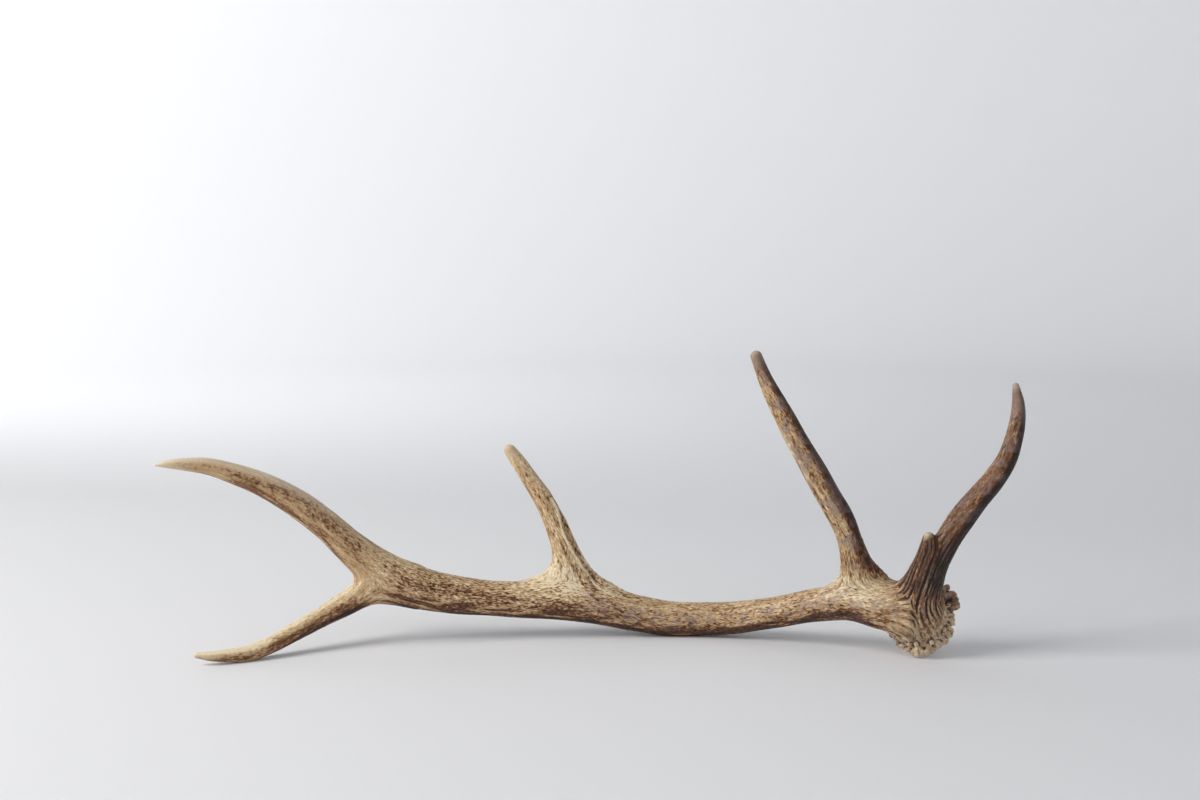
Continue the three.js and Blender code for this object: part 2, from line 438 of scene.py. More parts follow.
def collar_distance(points):
    """Distance of points from the burr's collar, FAR away from it, and the numbers of the points near it."""
    near = inside_box(points, BURR.low, BURR.high)
    distances = np.full(len(points), FAR)
    distances[near] = BURR.collar(points[near])
    return distances, near


def antler_distance(points):
    """Distance of any points from the antler's smooth surface."""
    distances = {name: limb.measure(points)[0] for name, limb in LIMBS.items()}
    collar, near = collar_distance(points)
    field = blended(distances, collar)
    field[near] = BURR.add_knobs(points[near], field[near])
    return field


# ---- From the distance field to one mesh of quads ----


def grid_block(low, high):
    """The grid's slices inside a box, their points, and their shape."""
    first = np.clip(np.ceil((low - GRID_LOW) / GRID_STEP).astype(int), 0, GRID_COUNTS)
    last = np.clip(np.floor((high - GRID_LOW) / GRID_STEP).astype(int) + 1, 0, GRID_COUNTS)
    axes = [GRID_LOW[k] + GRID_STEP * np.arange(first[k], last[k]) for k in range(3)]
    points = np.stack(np.meshgrid(*axes, indexing="ij"), -1)
    return tuple(slice(a, b) for a, b in zip(first, last)), points.reshape(-1, 3), points.shape[:3]


def antler_grid():
    """The antler's distance at every point of the grid."""
    distances = {}
    for name, limb in LIMBS.items():
        distances[name] = np.full(GRID_COUNTS, FAR, np.float32)
        for first, last, low, high in limb.chunks():
            block, points, shape = grid_block(low, high)
            found = limb.field(points, first, last).reshape(shape)
            distances[name][block] = np.minimum(distances[name][block], found)
    collar = np.full(GRID_COUNTS, FAR, np.float32)
    block, points, shape = grid_block(BURR.low, BURR.high)
    collar[block] = BURR.collar(points).reshape(shape)
    field = blended(distances, collar)
    field[block] = BURR.add_knobs(points, field[block].reshape(-1)).reshape(shape)
    return field


def surface_net(field):
    """Quads through the cells that the surface passes, facing outwards."""
    inside = field < 0
    corners = [(i, j, k) for i in (0, 1) for j in (0, 1) for k in (0, 1)]
    shape = np.array(field.shape) - 1
    count = np.zeros(shape, np.int8)
    for i, j, k in corners:
        count += inside[i : shape[0] + i, j : shape[1] + j, k : shape[2] + k]
    mixed = (count > 0) & (count < 8)
    cells = np.argwhere(mixed)
    index = np.full(shape, -1, np.int64)
    index[mixed] = np.arange(len(cells))
    total = np.zeros((len(cells), 3))
    crossings = np.zeros(len(cells))
    for axis in range(3):
        for corner in corners:
            if corner[axis] == 0:
                start = cells + corner
                end = start + np.eye(3, dtype=int)[axis]
                a = field[tuple(start.T)]
                b = field[tuple(end.T)]
                cross = (a < 0) != (b < 0)
                t = np.where(cross, a / np.where(cross, a - b, 1), 0)
                spot = start + t[:, None] * np.eye(3)[axis]
                total += np.where(cross[:, None], spot, 0)
                crossings += cross
    vertices = GRID_LOW + GRID_STEP * total / crossings[:, None]
    quads = []
    for axis in range(3):
        one, two = (axis + 1) % 3, (axis + 2) % 3
        near = inside[tuple(slice(0, -1) if k == axis else slice(1, -1) for k in range(3))]
        far = inside[tuple(slice(1, None) if k == axis else slice(1, -1) for k in range(3))]
        edge = np.argwhere(near != far)
        edge[:, one] += 1
        edge[:, two] += 1
        leaving = inside[tuple(edge.T)]
        ring = []
        for down_one, down_two in ((1, 1), (0, 1), (0, 0), (1, 0)):
            cell = edge.copy()
            cell[:, one] -= down_one
            cell[:, two] -= down_two
            ring.append(index[tuple(cell.T)])
        ring = np.stack(ring, 1)
        quads.append(np.where(leaving[:, None], ring, ring[:, ::-1]))
    return vertices, np.vstack(quads)


def edges_of(quads):
    """All edges as pairs of vertices in rising order, and the number of the edge that leaves each corner."""
    pairs = np.stack([quads, np.roll(quads, -1, 1)], -1).reshape(-1, 2)
    pairs.sort(1)
    count = int(quads.max()) + 1
    keys, numbers = np.unique(pairs[:, 0] * count + pairs[:, 1], return_inverse=True)
    return np.stack([keys // count, keys % count], 1), numbers.reshape(-1, 4)


def split_quads(vertices, quads):
    """Every quad as four smaller ones."""
    edges, numbers = edges_of(quads)
    middles = vertices[edges].mean(1)
    centres = vertices[quads].mean(1)
    first_middle = len(vertices)
    first_centre = first_middle + len(middles)
    centre = first_centre + np.arange(len(quads))
    small = []
    for corner in range(4):
        ahead = first_middle + numbers[:, corner]
        behind = first_middle + numbers[:, corner - 1]
        small.append(np.stack([quads[:, corner], ahead, centre, behind], 1))
    return np.vstack([vertices, middles, centres]), np.vstack(small)


def vertex_normals(vertices, quads):
    """A unit normal for each vertex, the mean of its quads' by their areas."""
    a, b, c, d = (vertices[quads[:, k]] for k in range(4))
    face = np.cross(c - a, d - b)
    count = len(vertices)
    totals = [sum(np.bincount(quads[:, k], column, count) for k in range(4)) for column in face.T]
    return unit(np.stack(totals, 1))


def relaxed(vertices, quads, share):
    """Vertices moved a share of the way to the middle of their neighbours."""
    edges, _ = edges_of(quads)
    both = np.vstack([edges, edges[:, ::-1]])
    degree = np.bincount(both[:, 0], minlength=len(vertices))
    columns = [np.bincount(both[:, 0], vertices[both[:, 1], k], len(vertices)) for k in range(3)]
    middle = np.stack(columns, 1)
    return vertices + share * (middle / degree[:, None] - vertices)


def onto_surface(vertices, quads):
    """Vertices moved along their normals onto the antler's smooth surface, by a grid step at most."""
    normals = vertex_normals(vertices, quads)
    return vertices - np.clip(antler_distance(vertices), -GRID_STEP, GRID_STEP)[:, None] * normals


# ---- The grain: the way that the furrows, fibres and flecks run over the bone ----

SHARING = 4.5  # how many millimetres further away a limb has to be to count e times less
FORK_TURN = 26.0  # over what length of beam the grain of a fork turns from one side to the other
HANDOVER = 36.0  # over what length of a tine's root its grain comes out of the beam's
GRAIN_ROUNDS = 32  # how often the directions are averaged over neighbours
HOLLOW_ROUNDS = 12  # how often the surface is averaged to find its hollows
FURROW_ROUNDS = 8  # how often the furrows are averaged, to take out broad ones


class Neighbours:
    """The vertices next to each vertex, across the edges and the diagonals of its quads."""

    def __init__(self, vertices, quads):
        edges, _ = edges_of(quads)
        diagonals = [quads[:, [0, 2]], quads[:, [2, 0]], quads[:, [1, 3]], quads[:, [3, 1]]]
        pairs = np.vstack([edges, edges[:, ::-1], *diagonals])
        pairs = pairs[np.argsort(pairs[:, 0], kind="stable")]
        self.first, self.second = pairs.T
        self.starts = np.searchsorted(self.first, np.arange(len(vertices)))
        step = vertices[self.second] - vertices[self.first]
        self.step = step / np.linalg.norm(step, axis=1, keepdims=True)

    def total(self, values):
        """The sum of each vertex's share of values that are given pair by pair."""
        return np.add.reduceat(values, self.starts)

    def spread(self, values, rounds):
        """Values averaged with those around them, again and again."""
        count = self.total(np.ones(len(self.first)))
        for _ in range(rounds):
            around = np.stack([self.total(column[self.second]) for column in values.T], 1)
            values = (values + around / count[:, None]) / 2
        return values

    def combed(self, values, directions, steps):
        """Values drawn out along the directions by some steps both ways, with a mean of 0 and spread of 1."""
        turn = (self.step * directions[self.first]).sum(1)
        total = values.copy()
        for sign in (1, -1):
            chosen = np.flatnonzero(sign * turn > 0.4)
            weights = (sign * turn[chosen]) ** 8
            first, second = self.first[chosen], self.second[chosen]
            sums = np.bincount(first, weights, len(values))
            weights = weights / np.maximum(sums[first], 1e-9)
            moved = values
            for step in range(steps):
                moved = np.bincount(first, weights * moved[second], len(values))
                total += moved * np.cos((step + 1) / (steps + 1) * np.pi / 2) ** 2
        return (total - total.mean()) / total.std()


def belonging(points):
    """How much each point belongs to each limb and the burr, and its place along and direction of each."""
    measures = {name: limb.measure(points) for name, limb in LIMBS.items()}
    collar, _ = collar_distance(points)
    measures["burr"] = (collar, np.zeros(len(points)), np.broadcast_to(BURR.axes[0], points.shape))
    distances = np.stack([measure[0] for measure in measures.values()])
    weights = np.exp(-(distances - distances.min(0)) / SHARING)
    weights /= weights.sum(0)
    return {name: (weight, *measure[1:]) for (name, measure), weight in zip(measures.items(), weights)}


def grain_directions(vertices, normals, belongs, neighbours):
    """A unit vector in the surface for each vertex, the way that the grain runs there.

    Each limb's own direction is mixed as a tensor. Where a tine meets the beam, the grain turns out of
    the tine and away to both sides.
    """
    _, beam_along, beam_tangent = belongs["beam"]
    tensors = np.zeros((len(vertices), 3, 3))
    parts = {name: weight[:, None] * tangent for name, (weight, _, tangent) in belongs.items()}
    for tine in ("bez", "trez", "crown"):
        weight, along, _ = belongs[tine]
        given = ease(along, HANDOVER, 0)[:, None]
        parts[tine] = parts[tine] * (1 - given)
        parts["beam"] = parts["beam"] + given * weight[:, None] * beam_tangent
    for part in parts.values():
        tensors += part[:, :, None] * part[:, None, :]
    pairs = [("brow", "burr", 1), ("snag", "burr", 1), ("beam", "burr", 1), ("snag", "brow", 1)]
    for tine in ("brow", "snag", "bez", "trez", "crown"):
        _, fork, _ = LIMBS["beam"].measure(LIMBS[tine].centre[:1])
        side = np.tanh((fork - beam_along) / FORK_TURN)
        pairs.append((tine, "beam", side[:, None, None]))
    for one, two, sign in pairs:
        cross = parts[one][:, :, None] * parts[two][:, None, :]
        tensors += sign * (cross + cross.transpose(0, 2, 1))
    columns = neighbours.spread(tensors.reshape(-1, 9)[:, [0, 1, 2, 4, 5, 8]], GRAIN_ROUNDS)
    tensors = columns[:, [0, 1, 2, 1, 3, 4, 2, 4, 5]].reshape(-1, 3, 3)
    one = unit(np.cross(normals, np.where(np.abs(normals[:, 1:2]) < 0.8, [0.0, 1.0, 0.0], [1.0, 0.0, 0.0])))
    two = np.cross(normals, one)

    def pull(a, b):
        return np.einsum("ni,nij,nj->n", a, tensors, b)

    straight = pull(one, one) - pull(two, two)
    slanted = 2 * pull(one, two)
    angle = np.arctan2(slanted, straight)[:, None] / 2
    directions = np.cos(angle) * one + np.sin(angle) * two
    to_root = -sum(parts.values())
    flip = (directions * to_root).sum(1) < 0
    directions[flip] *= -1
    return directions


# ---- The skin of the bone: its relief, and the masks that its colours follow ----

# Per limb: depth of the furrows at the root and further on, depth of the pits at the root and further on, in
# millimetres, and the share of the length by which the root's values have faded out.
RELIEF = {
    "beam": (0.24, 0.10, 0.20, 0.12, 0.16),
    "brow": (1.50, 0.05, 0.20, 0.12, 0.60),
    "snag": (1.30, 0.60, 0.20, 0.15, 1.00),
    "bez": (0.40, 0.06, 0.26, 0.12, 0.40),
    "trez": (0.30, 0.06, 0.22, 0.12, 0.50),
    "crown": (0.20, 0.04, 0.18, 0.08, 0.50),
    "burr": (0.20, 0.20, 0.35, 0.35, 1.00),
}
# A thin ridge with a groove on each side, down the trez tine and out over its web, as places in X and Z.
TREZ_RIDGE = [[-48, 158], [-37, 139], [-30, 113], [-19.5, 93], [-9, 76], [3.5, 59], [20, 47.5]]
RIDGE_WIDTH, RIDGE_HEIGHT = 1.4, 0.9
GROOVE_AWAY, GROOVE_WIDTH, GROOVE_DEPTH = 3.4, 1.7, 1.1  # the deeper groove, towards +X
FRONT_WIDTH, FRONT_DEPTH = 1.2, 0.6  # the groove towards -X, which is further off lower down
SNAG_END = np.array([337.5, -52, 133])
# The tines' right side, away from the window lamp, is painted darker: partly painted shade, partly darker
# bone.
AWAY_FROM_WINDOW = np.array([0.92, 0.05, -0.25])  # the way that the darker, right side of the tines faces


def grain_patterns(vertices, neighbours, directions):
    """Noises drawn out along the grain: fibres, spots, furrows and long streaks."""
    random = np.random.default_rng(5)
    fibres = neighbours.combed(random.standard_normal(len(vertices)), directions, 5)
    flecks = neighbours.combed(noise(vertices / 1.2, 7), directions, 1)
    dashes = neighbours.combed(noise(vertices / 1.6, 8), directions, 4)
    furrows = neighbours.combed(noise(vertices / 2.1, 5), directions, 34)
    furrows -= neighbours.spread(furrows[:, None], FURROW_ROUNDS)[:, 0]
    furrows /= furrows.std()
    streaks = neighbours.combed(noise(vertices / 2.8, 6), directions, 26)
    return fibres, 0.55 * flecks + 0.75 * dashes, furrows, streaks


def limb_shares(vertices, belongs):
    """How much each vertex is on each limb, the furrows' and pits' depth there, its place along the limb from
    0 to 1, and how near it is to the tip."""
    x, _, z = vertices.T
    on = {}
    furrow_depth, pit_depth, end = np.zeros((3, len(vertices)))
    for name, (weight, along, _) in belongs.items():
        on[name] = weight
        length = LIMBS[name].length if name in LIMBS else 1.0
        here = along / length
        near_furrow, far_furrow, near_pit, far_pit, faded = RELIEF[name]
        fade = ease(here, 0.06, faded)
        furrow_depth += weight * (near_furrow + (far_furrow - near_furrow) * fade)
        pit_depth += weight * (near_pit + (far_pit - near_pit) * fade)
        if name not in ("burr", "snag"):
            end += weight * here
    near_tip = ease(end, 0.84 + 0.08 * (on["trez"] + on["bez"]), 0.99)
    # The tines' roots look like the beam.
    roots = {"bez": ease(z, 88, 58), "trez": ease(z, 84, 54), "crown": ease(x, -264, -222)}
    for tine, root in roots.items():
        given = on[tine] * root
        on[tine] = on[tine] - given
        on["beam"] = on["beam"] + given
    return on, furrow_depth, pit_depth, end, near_tip


def trez_seam(vertices, normals):
    """The ridge down the trez tine, the groove on each side of it, and the strip that they lie in."""
    off_ridge, down_ridge = beside(vertices, TREZ_RIDGE)
    seam = ease(normals[:, 1], 0.60, 0.20) * ease(down_ridge, 0, 0.12) * ease(down_ridge, 1, 0.85)
    front_edge = -3.5 - 8 * down_ridge
    return SimpleNamespace(
        ridge=seam * bell(off_ridge, 0, RIDGE_WIDTH),
        groove=seam * bell(off_ridge, GROOVE_AWAY, GROOVE_WIDTH),
        front=seam * bell(off_ridge, front_edge, FRONT_WIDTH) * ease(down_ridge, 0.25, 0.5),
        strip=seam * ease(off_ridge - front_edge, -1, 1) * ease(off_ridge, 18, 9),
    )


def find_zones(vertices, normals, on, seam):
    """Soft masks, from 0 to 1, of the ways that the bone faces and of its regions."""
    x, _, z = vertices.T
    slope = normals[:, 2]
    at = SimpleNamespace()
    # The ways that the bone faces: find_shade paints highlight on up, and shade on down and right, beside the
    # bone's own tones.
    at.up = ease(slope, 0.15, 0.9)
    at.down = ease(-slope, -0.30, 0.80)
    at.right = ease(normals @ unit(AWAY_FROM_WINDOW), -0.15, 0.65)
    at.band = bell(slope, 0.10, 0.50)
    at.ledge = bell(slope, 0.35, 0.28)

    at.left_half = ease(x, 90, -60) * on["beam"]
    at.crown_end = ease(x, -185, -265) * on["beam"]
    at.trunk = ease(x, 272, 310)
    at.foot = on["snag"] + on["brow"] * ease(z, 135, 95)
    at.low_lines = at.left_half * (1 - at.crown_end) * ease(-slope, -0.05, 0.35)
    at.snag_tip = ease(np.linalg.norm(vertices - SNAG_END, axis=1), 10, 2)

    rise, level, steep = BURR.local(vertices).T
    from_axis = np.hypot(level / RIM_SHORT, steep / RIM_LONG)
    at.collar = ease(rise, 26, 18) * ease(from_axis, 0.64, 0.82) * ease(from_axis, 1.55, 1.30)
    at.seal = ease(rise, 0, -2.5) * ease(from_axis, 0.97, 0.84) * on["burr"]
    at.knobbly = np.maximum(on["burr"], at.collar)
    knob_centre = BURR.place(8, BIG_KNOB + 0.12, 1.12)
    at.big_knob = ease(np.linalg.norm(vertices - knob_centre, axis=1), 17, 11)

    at.trez_web = bell(x, -22, 44) * ease(z, 34, 56) * ease(z, 92, 64)
    bez_web = 0.95 * bell(x, 276, 34) * ease(z, 44, 66) * ease(z, 98, 72) * (1 - on["brow"] - on["snag"])
    at.crown_web = np.exp(-(((x + 238) / 30) ** 2) - ((z - 74) / 26) ** 2)
    webs = np.clip(at.trez_web + bez_web + 0.8 * at.crown_web, 0, 1)
    at.web = webs * (1 - 0.85 * seam.strip) * (1 - at.knobbly)
    return at


def find_marks(vertices, normals, on, at, seam, spot):
    """How many flecks there are, how dark they make the bone, and how strong its fine lines are."""
    clusters = noise(vertices / [22, 22, 11], 22)
    blotches = ease(noise(vertices / [15, 15, 8], 27), 0.62, 0.80)
    amount = (
        on["beam"] * (0.40 + 0.50 * at.band * at.left_half + 0.10 * at.band - 0.25 * at.crown_end)
        + on["brow"] * 0.50
        + on["bez"] * (0.50 + 0.20 * at.right)
        + on["trez"] * (0.50 + 0.15 * at.right)
        + on["crown"] * (0.35 + 0.2 * at.down)
        + on["burr"] * 0.20
    )
    amount += 0.72 * (clusters - 0.5)
    amount += 0.55 * at.left_half * at.band * blotches
    amount += at.crown_end * (0.30 * at.ledge - 0.45 * ease(normals[:, 2], 0.15, -0.25))
    amount = amount * (1 - 0.6 * at.web) * (1 - 0.8 * at.near_tip)
    amount = amount - 0.15 * at.up - 0.8 * at.crown_web - 0.8 * at.seal
    amount = np.clip(amount + 0.8 * seam.groove + 0.2 * seam.strip - 0.5 * seam.ridge, -0.6, 1)

    fainter = 0.10 * (at.crown_end + at.trunk) + 0.06 * (on["bez"] + on["trez"] + on["crown"])
    fainter = fainter + 0.12 * at.low_lines
    dark = 0.5 + 0.26 * (spot - 1.85 + 1.55 * amount) - fainter
    wormy = (
        on["beam"] * (0.90 + 0.25 * at.left_half - 0.80 * at.crown_end - 0.35 * at.trunk - 0.4 * at.low_lines)
        + on["brow"] * (0.45 + 0.25 * at.foot)
        + on["bez"] * 0.65
        + on["trez"] * 0.75
        + on["crown"] * 0.48
        + (on["snag"] + on["burr"]) * 0.60
        + 0.45 * (at.web - at.crown_web)
    ) * (1 - at.seal)
    return amount, dark, wormy


def find_shade(vertices, normals, on, at, seam, amount, spot, streaks, fine_groove):
    """How dark the bone is under its flecks: about 0 for cream and over 1 for dark brown.

    Besides the bone's own tones, it holds painted shade on the undersides and on the sides away from the
    window lamp, and painted highlight on the tops.
    """
    x, _, z = vertices.T
    patches = noise(vertices / 24, 21)
    # Darker undersides: partly the bone's browner underside, partly painted shade. The crown end's top gets a
    # little painted highlight.
    shaded_underside = at.down**1.5 * (0.78 - 0.36 * at.left_half - 0.66 * ease(x, 255, 300))
    shaded_underside += 0.40 * at.left_half * (1 - at.crown_end) * ease(-normals[:, 2], 0.55, 0.9)
    beam = 0.40 + shaded_underside + 0.28 * at.left_half * at.band - at.crown_end * (0.23 + 0.08 * at.up)
    beam = beam + 0.12 * at.trunk
    # Painted shade: the sides away from the window lamp are darkened on the brow and the bez, and a little on
    # the trez and the burr, over the bone's own darker right side. The brow's furrowed foot is darkened too,
    # partly painted shade and partly dark bone.
    brow_shaded_right = at.right * ease(z, 62, 96)
    brow = 0.88 + 1.30 * brow_shaded_right + 0.55 * at.foot * ease(z, 62, 80) - 0.04 * ease(at.end, 0.55, 0.85)
    bez = 0.42 + at.right * (0.70 + 0.42 * ease(z, 85, 150)) + 0.12 * ease(z, 130, 95)
    # The crown's tines: painted highlight on top and painted shade underneath, over their browner undersides.
    crown = 0.78 + 0.48 * at.down - 0.62 * at.up - 0.52 * ease(at.end, 0.6, 0.85)
    shade = (
        on["beam"] * beam
        + on["brow"] * brow
        + on["snag"] * 0.94
        + on["bez"] * bez
        + on["bez"] * 0.36 * ease(at.end, 0.8, 1.0)
        + on["trez"] * (0.30 + 0.02 * at.right)
        + on["crown"] * crown
        + on["burr"] * (0.34 + 0.06 * at.right)
    )
    shade += at.collar * (0.22 - 0.04 * at.right - shade) + 0.45 * at.big_knob - 0.22 * at.seal
    # Tops are painted paler: partly a pale top edge on the bone, partly painted highlight.
    lit_pale_top = at.up * np.clip(1 - on["beam"] + 0.4 * at.left_half - at.crown_end, 0, 1)
    shade += 0.16 * (patches - 0.5) - 0.56 * at.web - 0.12 * at.trez_web - 0.18 * lit_pale_top - 0.60 * seam.ridge
    shade += 0.30 * seam.groove + 0.45 * seam.front + 0.04 * seam.strip + 0.45 * at.low_lines * fine_groove
    shade += 0.20 * at.crown_end * at.ledge
    shade += 0.16 * on["beam"] * (1 - at.left_half) * (1 - at.web) * (fine_groove - 0.3)
    shade += (0.08 + 0.16 * at.down) * streaks + (0.06 + 0.08 * amount) * spot * (1 - 0.8 * at.near_tip)
    return shade


def find_grey(vertices, normals, on, at):
    """Where the bone is greyish: in mottles, on the burr, above the crown's fork and at two tips."""
    x, _, z = vertices.T
    mottles = ease(noise(vertices / 7, 23), 0.42, 0.70)
    tines = 0.6 * on["brow"] * (1 - 0.6 * at.foot) + 0.9 * on["bez"] * ease(z, 70, 125)
    beam = 0.8 * on["beam"] * ease(x, -70, 60) * (1 - at.down) * ease(normals[:, 2], 0.75, 0.25)
    # Less grey on the side away from the window lamp, which keeps its painted shade dark.
    grey = mottles * (tines * (1 - 0.7 * at.right) + beam)
    burr_mottles = 0.25 + 0.4 * ease(noise(vertices / 9, 24), 0.4, 0.7)
    grey = grey + at.knobbly * (1 - 0.6 * at.seal) * burr_mottles
    grey = np.maximum(grey, 0.35 * at.crown_end * at.up)
    grey = np.maximum(grey, 0.7 * on["bez"] * ease(at.end, 0.85, 1.0))
    return np.maximum(grey, 0.8 * on["brow"] * ease(at.end, 0.82, 0.92))


def find_ivory(on, at):
    """Where the bone is polished and pale: at the tips, and on top of the crown's upper tine."""
    ivory = (
        on["beam"] * (0.8 * ease(at.end, 0.95, 1.0) + 0.40 * ease(at.end, 0.72, 0.84) * at.up)
        + on["brow"] * 0.4 * ease(at.end, 0.97, 1.0)
        + on["bez"] * 0.15 * ease(at.end, 0.95, 1.0)
        + on["trez"] * 0.26 * ease(at.end, 0.90, 0.99)
        + on["crown"] * 0.5 * ease(at.end, 0.88, 1.0)
    )
    return np.maximum(ivory, 0.6 * at.snag_tip)


def skin(vertices, normals, quads):
    """How far each vertex stands out, and the masks that the bone's colours follow: see bone()."""
    neighbours = Neighbours(vertices, quads)
    belongs = belonging(vertices)
    directions = grain_directions(vertices, normals, belongs, neighbours)
    fibres, spot, furrows, streaks = grain_patterns(vertices, neighbours, directions)
    on, furrow_depth, pit_depth, end, near_tip = limb_shares(vertices, belongs)
    seam = trez_seam(vertices, normals)
    at = find_zones(vertices, normals, on, seam)
    at.end = end
    at.near_tip = near_tip
    amount, dark, wormy = find_marks(vertices, normals, on, at, seam, spot)
    groove = ease(furrows, 0.15, -1.0)
    fine_groove = bell(streaks, 0, 0.35)
    shade = find_shade(vertices, normals, on, at, seam, amount, spot, streaks, fine_groove)

    furrow_depth *= 1 - np.maximum(at.collar, at.seal)
    furrow_mask = groove * ease(furrow_depth, 0.10, 0.8) * (1 - at.snag_tip)
    pit_mask = ease(dark, 0.35, 0.62)
    pebbles = noise(vertices / 4.2, 10) - 0.5
    lumps = noise(vertices / 37, 11) - 0.5
    seal_pits = ease(noise(vertices / 4.5, 14), 0.60, 0.75)
    height = -furrow_depth * (1 - at.snag_tip) * groove - 0.25 * furrow_depth * fine_groove
    height += RIDGE_HEIGHT * seam.ridge - GROOVE_DEPTH * seam.groove - FRONT_DEPTH * seam.front
    height += -pit_depth * pit_mask + 0.04 * fibres * (1 - near_tip) + 0.5 * pit_depth * pebbles + 1.1 * lumps
    height += at.knobbly * 1.5 * (noise(vertices / 2.9, 12) - 0.5)
    height += at.seal * (1.6 * (noise(vertices / 2.1, 13) - 0.5) - 1.4 * seal_pits)

    moved = vertices + height[:, None] * normals
    # Painted shade, with some dirt, darkens the hollows, most on the burr and the brow's foot.
    hollow = ((neighbours.spread(moved, HOLLOW_ROUNDS) - moved) * normals).sum(1)
    shade_and_dirt = np.clip(0.35 + at.knobbly + at.foot, 0, 1)
    # A painted highlight, with some rubbed wear, lightens raised spots on the burr's knobs and the brow's
    # foot.
    rubbed_and_highlit = 0.6 * at.knobbly * (1 - at.big_knob) + 0.5 * at.foot * (1 - at.collar)
    return height, {
        "shade": np.clip(shade, -0.3, 1.6),
        "dark": np.clip(dark, 0, 1),
        "furrow": np.clip(furrow_mask, 0, 1),
        "wormy": wormy * (1 - 0.8 * near_tip),
        "grey": np.clip(find_grey(vertices, normals, on, at), 0, 1),
        "ivory": np.clip(find_ivory(on, at), 0, 1),
        "hollow": ease(hollow * (1 + 1.6 * at.knobbly), 0.12, 0.85) * shade_and_dirt,
        "ridge": ease(-hollow, 0.15, 0.95) * rubbed_and_highlit,
        "grain": directions,
    }


# ---- Parting at the saw cuts ----


def cut_side(points, name):
    """Distance of points from a saw cut's plane, positive on the side that it faces."""
    at, facing = CUTS[name]
    return (points - np.array(at, float)) @ unit(np.array(facing, float))


def nearest_cut(points):
    """The number in CUTS of the saw cut whose plane is nearest to each point."""
    return np.stack([np.abs(cut_side(points, name)) for name in CUTS], 1).argmin(1)


def piece_numbers(points):
    """Which piece each point belongs to, as its place in PIECES: the first whose test it meets.

    A cut's plane goes on past its own limb, so limits in X and Z keep a tine's test to the tine.
    """
    x, _, z = points.T
    tests = {
        "brow_tine": (cut_side(points, "brow") > 0) & (x > 305),
        "bez_tine": (cut_side(points, "bez") > 0) & (x > 150) & (x < 305),
        "trez_tine": (cut_side(points, "trez") > 0) & (x > -100) & (x < 12) & (z > 66),
        "crown_top_tine": (cut_side(points, "crown_top") > 0) & (z > 85),
        "crown_low_tine": (cut_side(points, "crown_low") > 0) & (x < -250) & (z < 62),
        "burr_base": cut_side(points, "burr") > 0,
        "beam_lower": cut_side(points, "lower") < 0,
        "beam_middle": cut_side(points, "upper") < 0,
    }
    numbers = [PIECES.index(name) for name in tests]
    return np.select(list(tests.values()), numbers, PIECES.index("beam_upper"))


def snap_to_cuts(vertices, quads, numbers):
    """The vertices between two pieces, moved onto the cut between them."""
    vertices = vertices.copy()
    lowest = np.full(len(vertices), len(PIECES))
    highest = np.full(len(vertices), -1)
    for k in range(4):
        np.minimum.at(lowest, quads[:, k], numbers)
        np.maximum.at(highest, quads[:, k], numbers)
    shared = np.flatnonzero(lowest != highest)
    nearest = nearest_cut(vertices[shared])
    for number, name in enumerate(CUTS):
        mine = shared[nearest == number]
        facing = unit(np.array(CUTS[name][1], float))
        vertices[mine] -= cut_side(vertices[mine], name)[:, None] * facing
    return vertices


def capped(vertices, quads):
    """The middle of each cut through a piece, and the fan of triangles round it that closes the piece."""
    count = len(vertices)
    starts, ends = quads.reshape(-1), np.roll(quads, -1, 1).reshape(-1)
    forward = starts * count + ends
    backward = ends * count + starts
    open_edges = ~np.isin(forward, backward)
    starts, ends = starts[open_edges], ends[open_edges]
    nearest = nearest_cut(vertices[starts])
    middles, triangles = [], []
    for number in np.unique(nearest):
        mine = nearest == number
        middle = count + len(middles)
        middles.append(vertices[starts[mine]].mean(0))
        triangles.append(np.stack([ends[mine], starts[mine], np.full(mine.sum(), middle)], 1))
    return np.array(middles), np.vstack(triangles)


def build_mesh(name, vertices, normals, quads, attributes):
    """A closed piece with its caps, its smooth normals and its masks."""
    used, quads = np.unique(quads, return_inverse=True)
    quads = quads.reshape(-1, 4)
    vertices, normals = vertices[used], normals[used]
    middles, triangles = capped(vertices, quads)
    points = np.vstack([vertices, middles])
    mesh = bpy.data.meshes.new(name)
    mesh.vertices.add(len(points))
    mesh.vertices.foreach_set("co", (points * METRES).astype(np.float32).ravel())
    corners = np.concatenate([quads.ravel(), triangles.ravel()])
    sizes = np.concatenate([np.full(len(quads), 4), np.full(len(triangles), 3)])
    mesh.loops.add(len(corners))
    mesh.loops.foreach_set("vertex_index", corners.astype(np.int32))
    mesh.polygons.add(len(sizes))
    mesh.polygons.foreach_set("loop_start", (np.cumsum(sizes) - sizes).astype(np.int32))
    mesh.polygons.foreach_set("use_smooth", np.ones(len(sizes), bool))
    mesh.update(calc_edges=True)
    first, second, third = (points[triangles[:, k]] for k in range(3))
    flat = np.cross(second - first, third - first)
    loop_normals = np.vstack([normals[quads.ravel()], np.repeat(unit(flat), 3, axis=0)])
    mesh.normals_split_custom_set(loop_normals.astype(np.float32))
    for key, values in attributes.items():
        values = values[used]
        extra = np.repeat(values.mean(0, keepdims=True), len(middles), axis=0)
        values = np.concatenate([values, extra]).astype(np.float32)
        kind, part = ("FLOAT", "value") if values.ndim == 1 else ("FLOAT_VECTOR", "vector")
        mesh.attributes.new(key, kind, "POINT").data.foreach_set(part, values.ravel())
    mesh.validate()
    return mesh


# ---- The bone's material ----


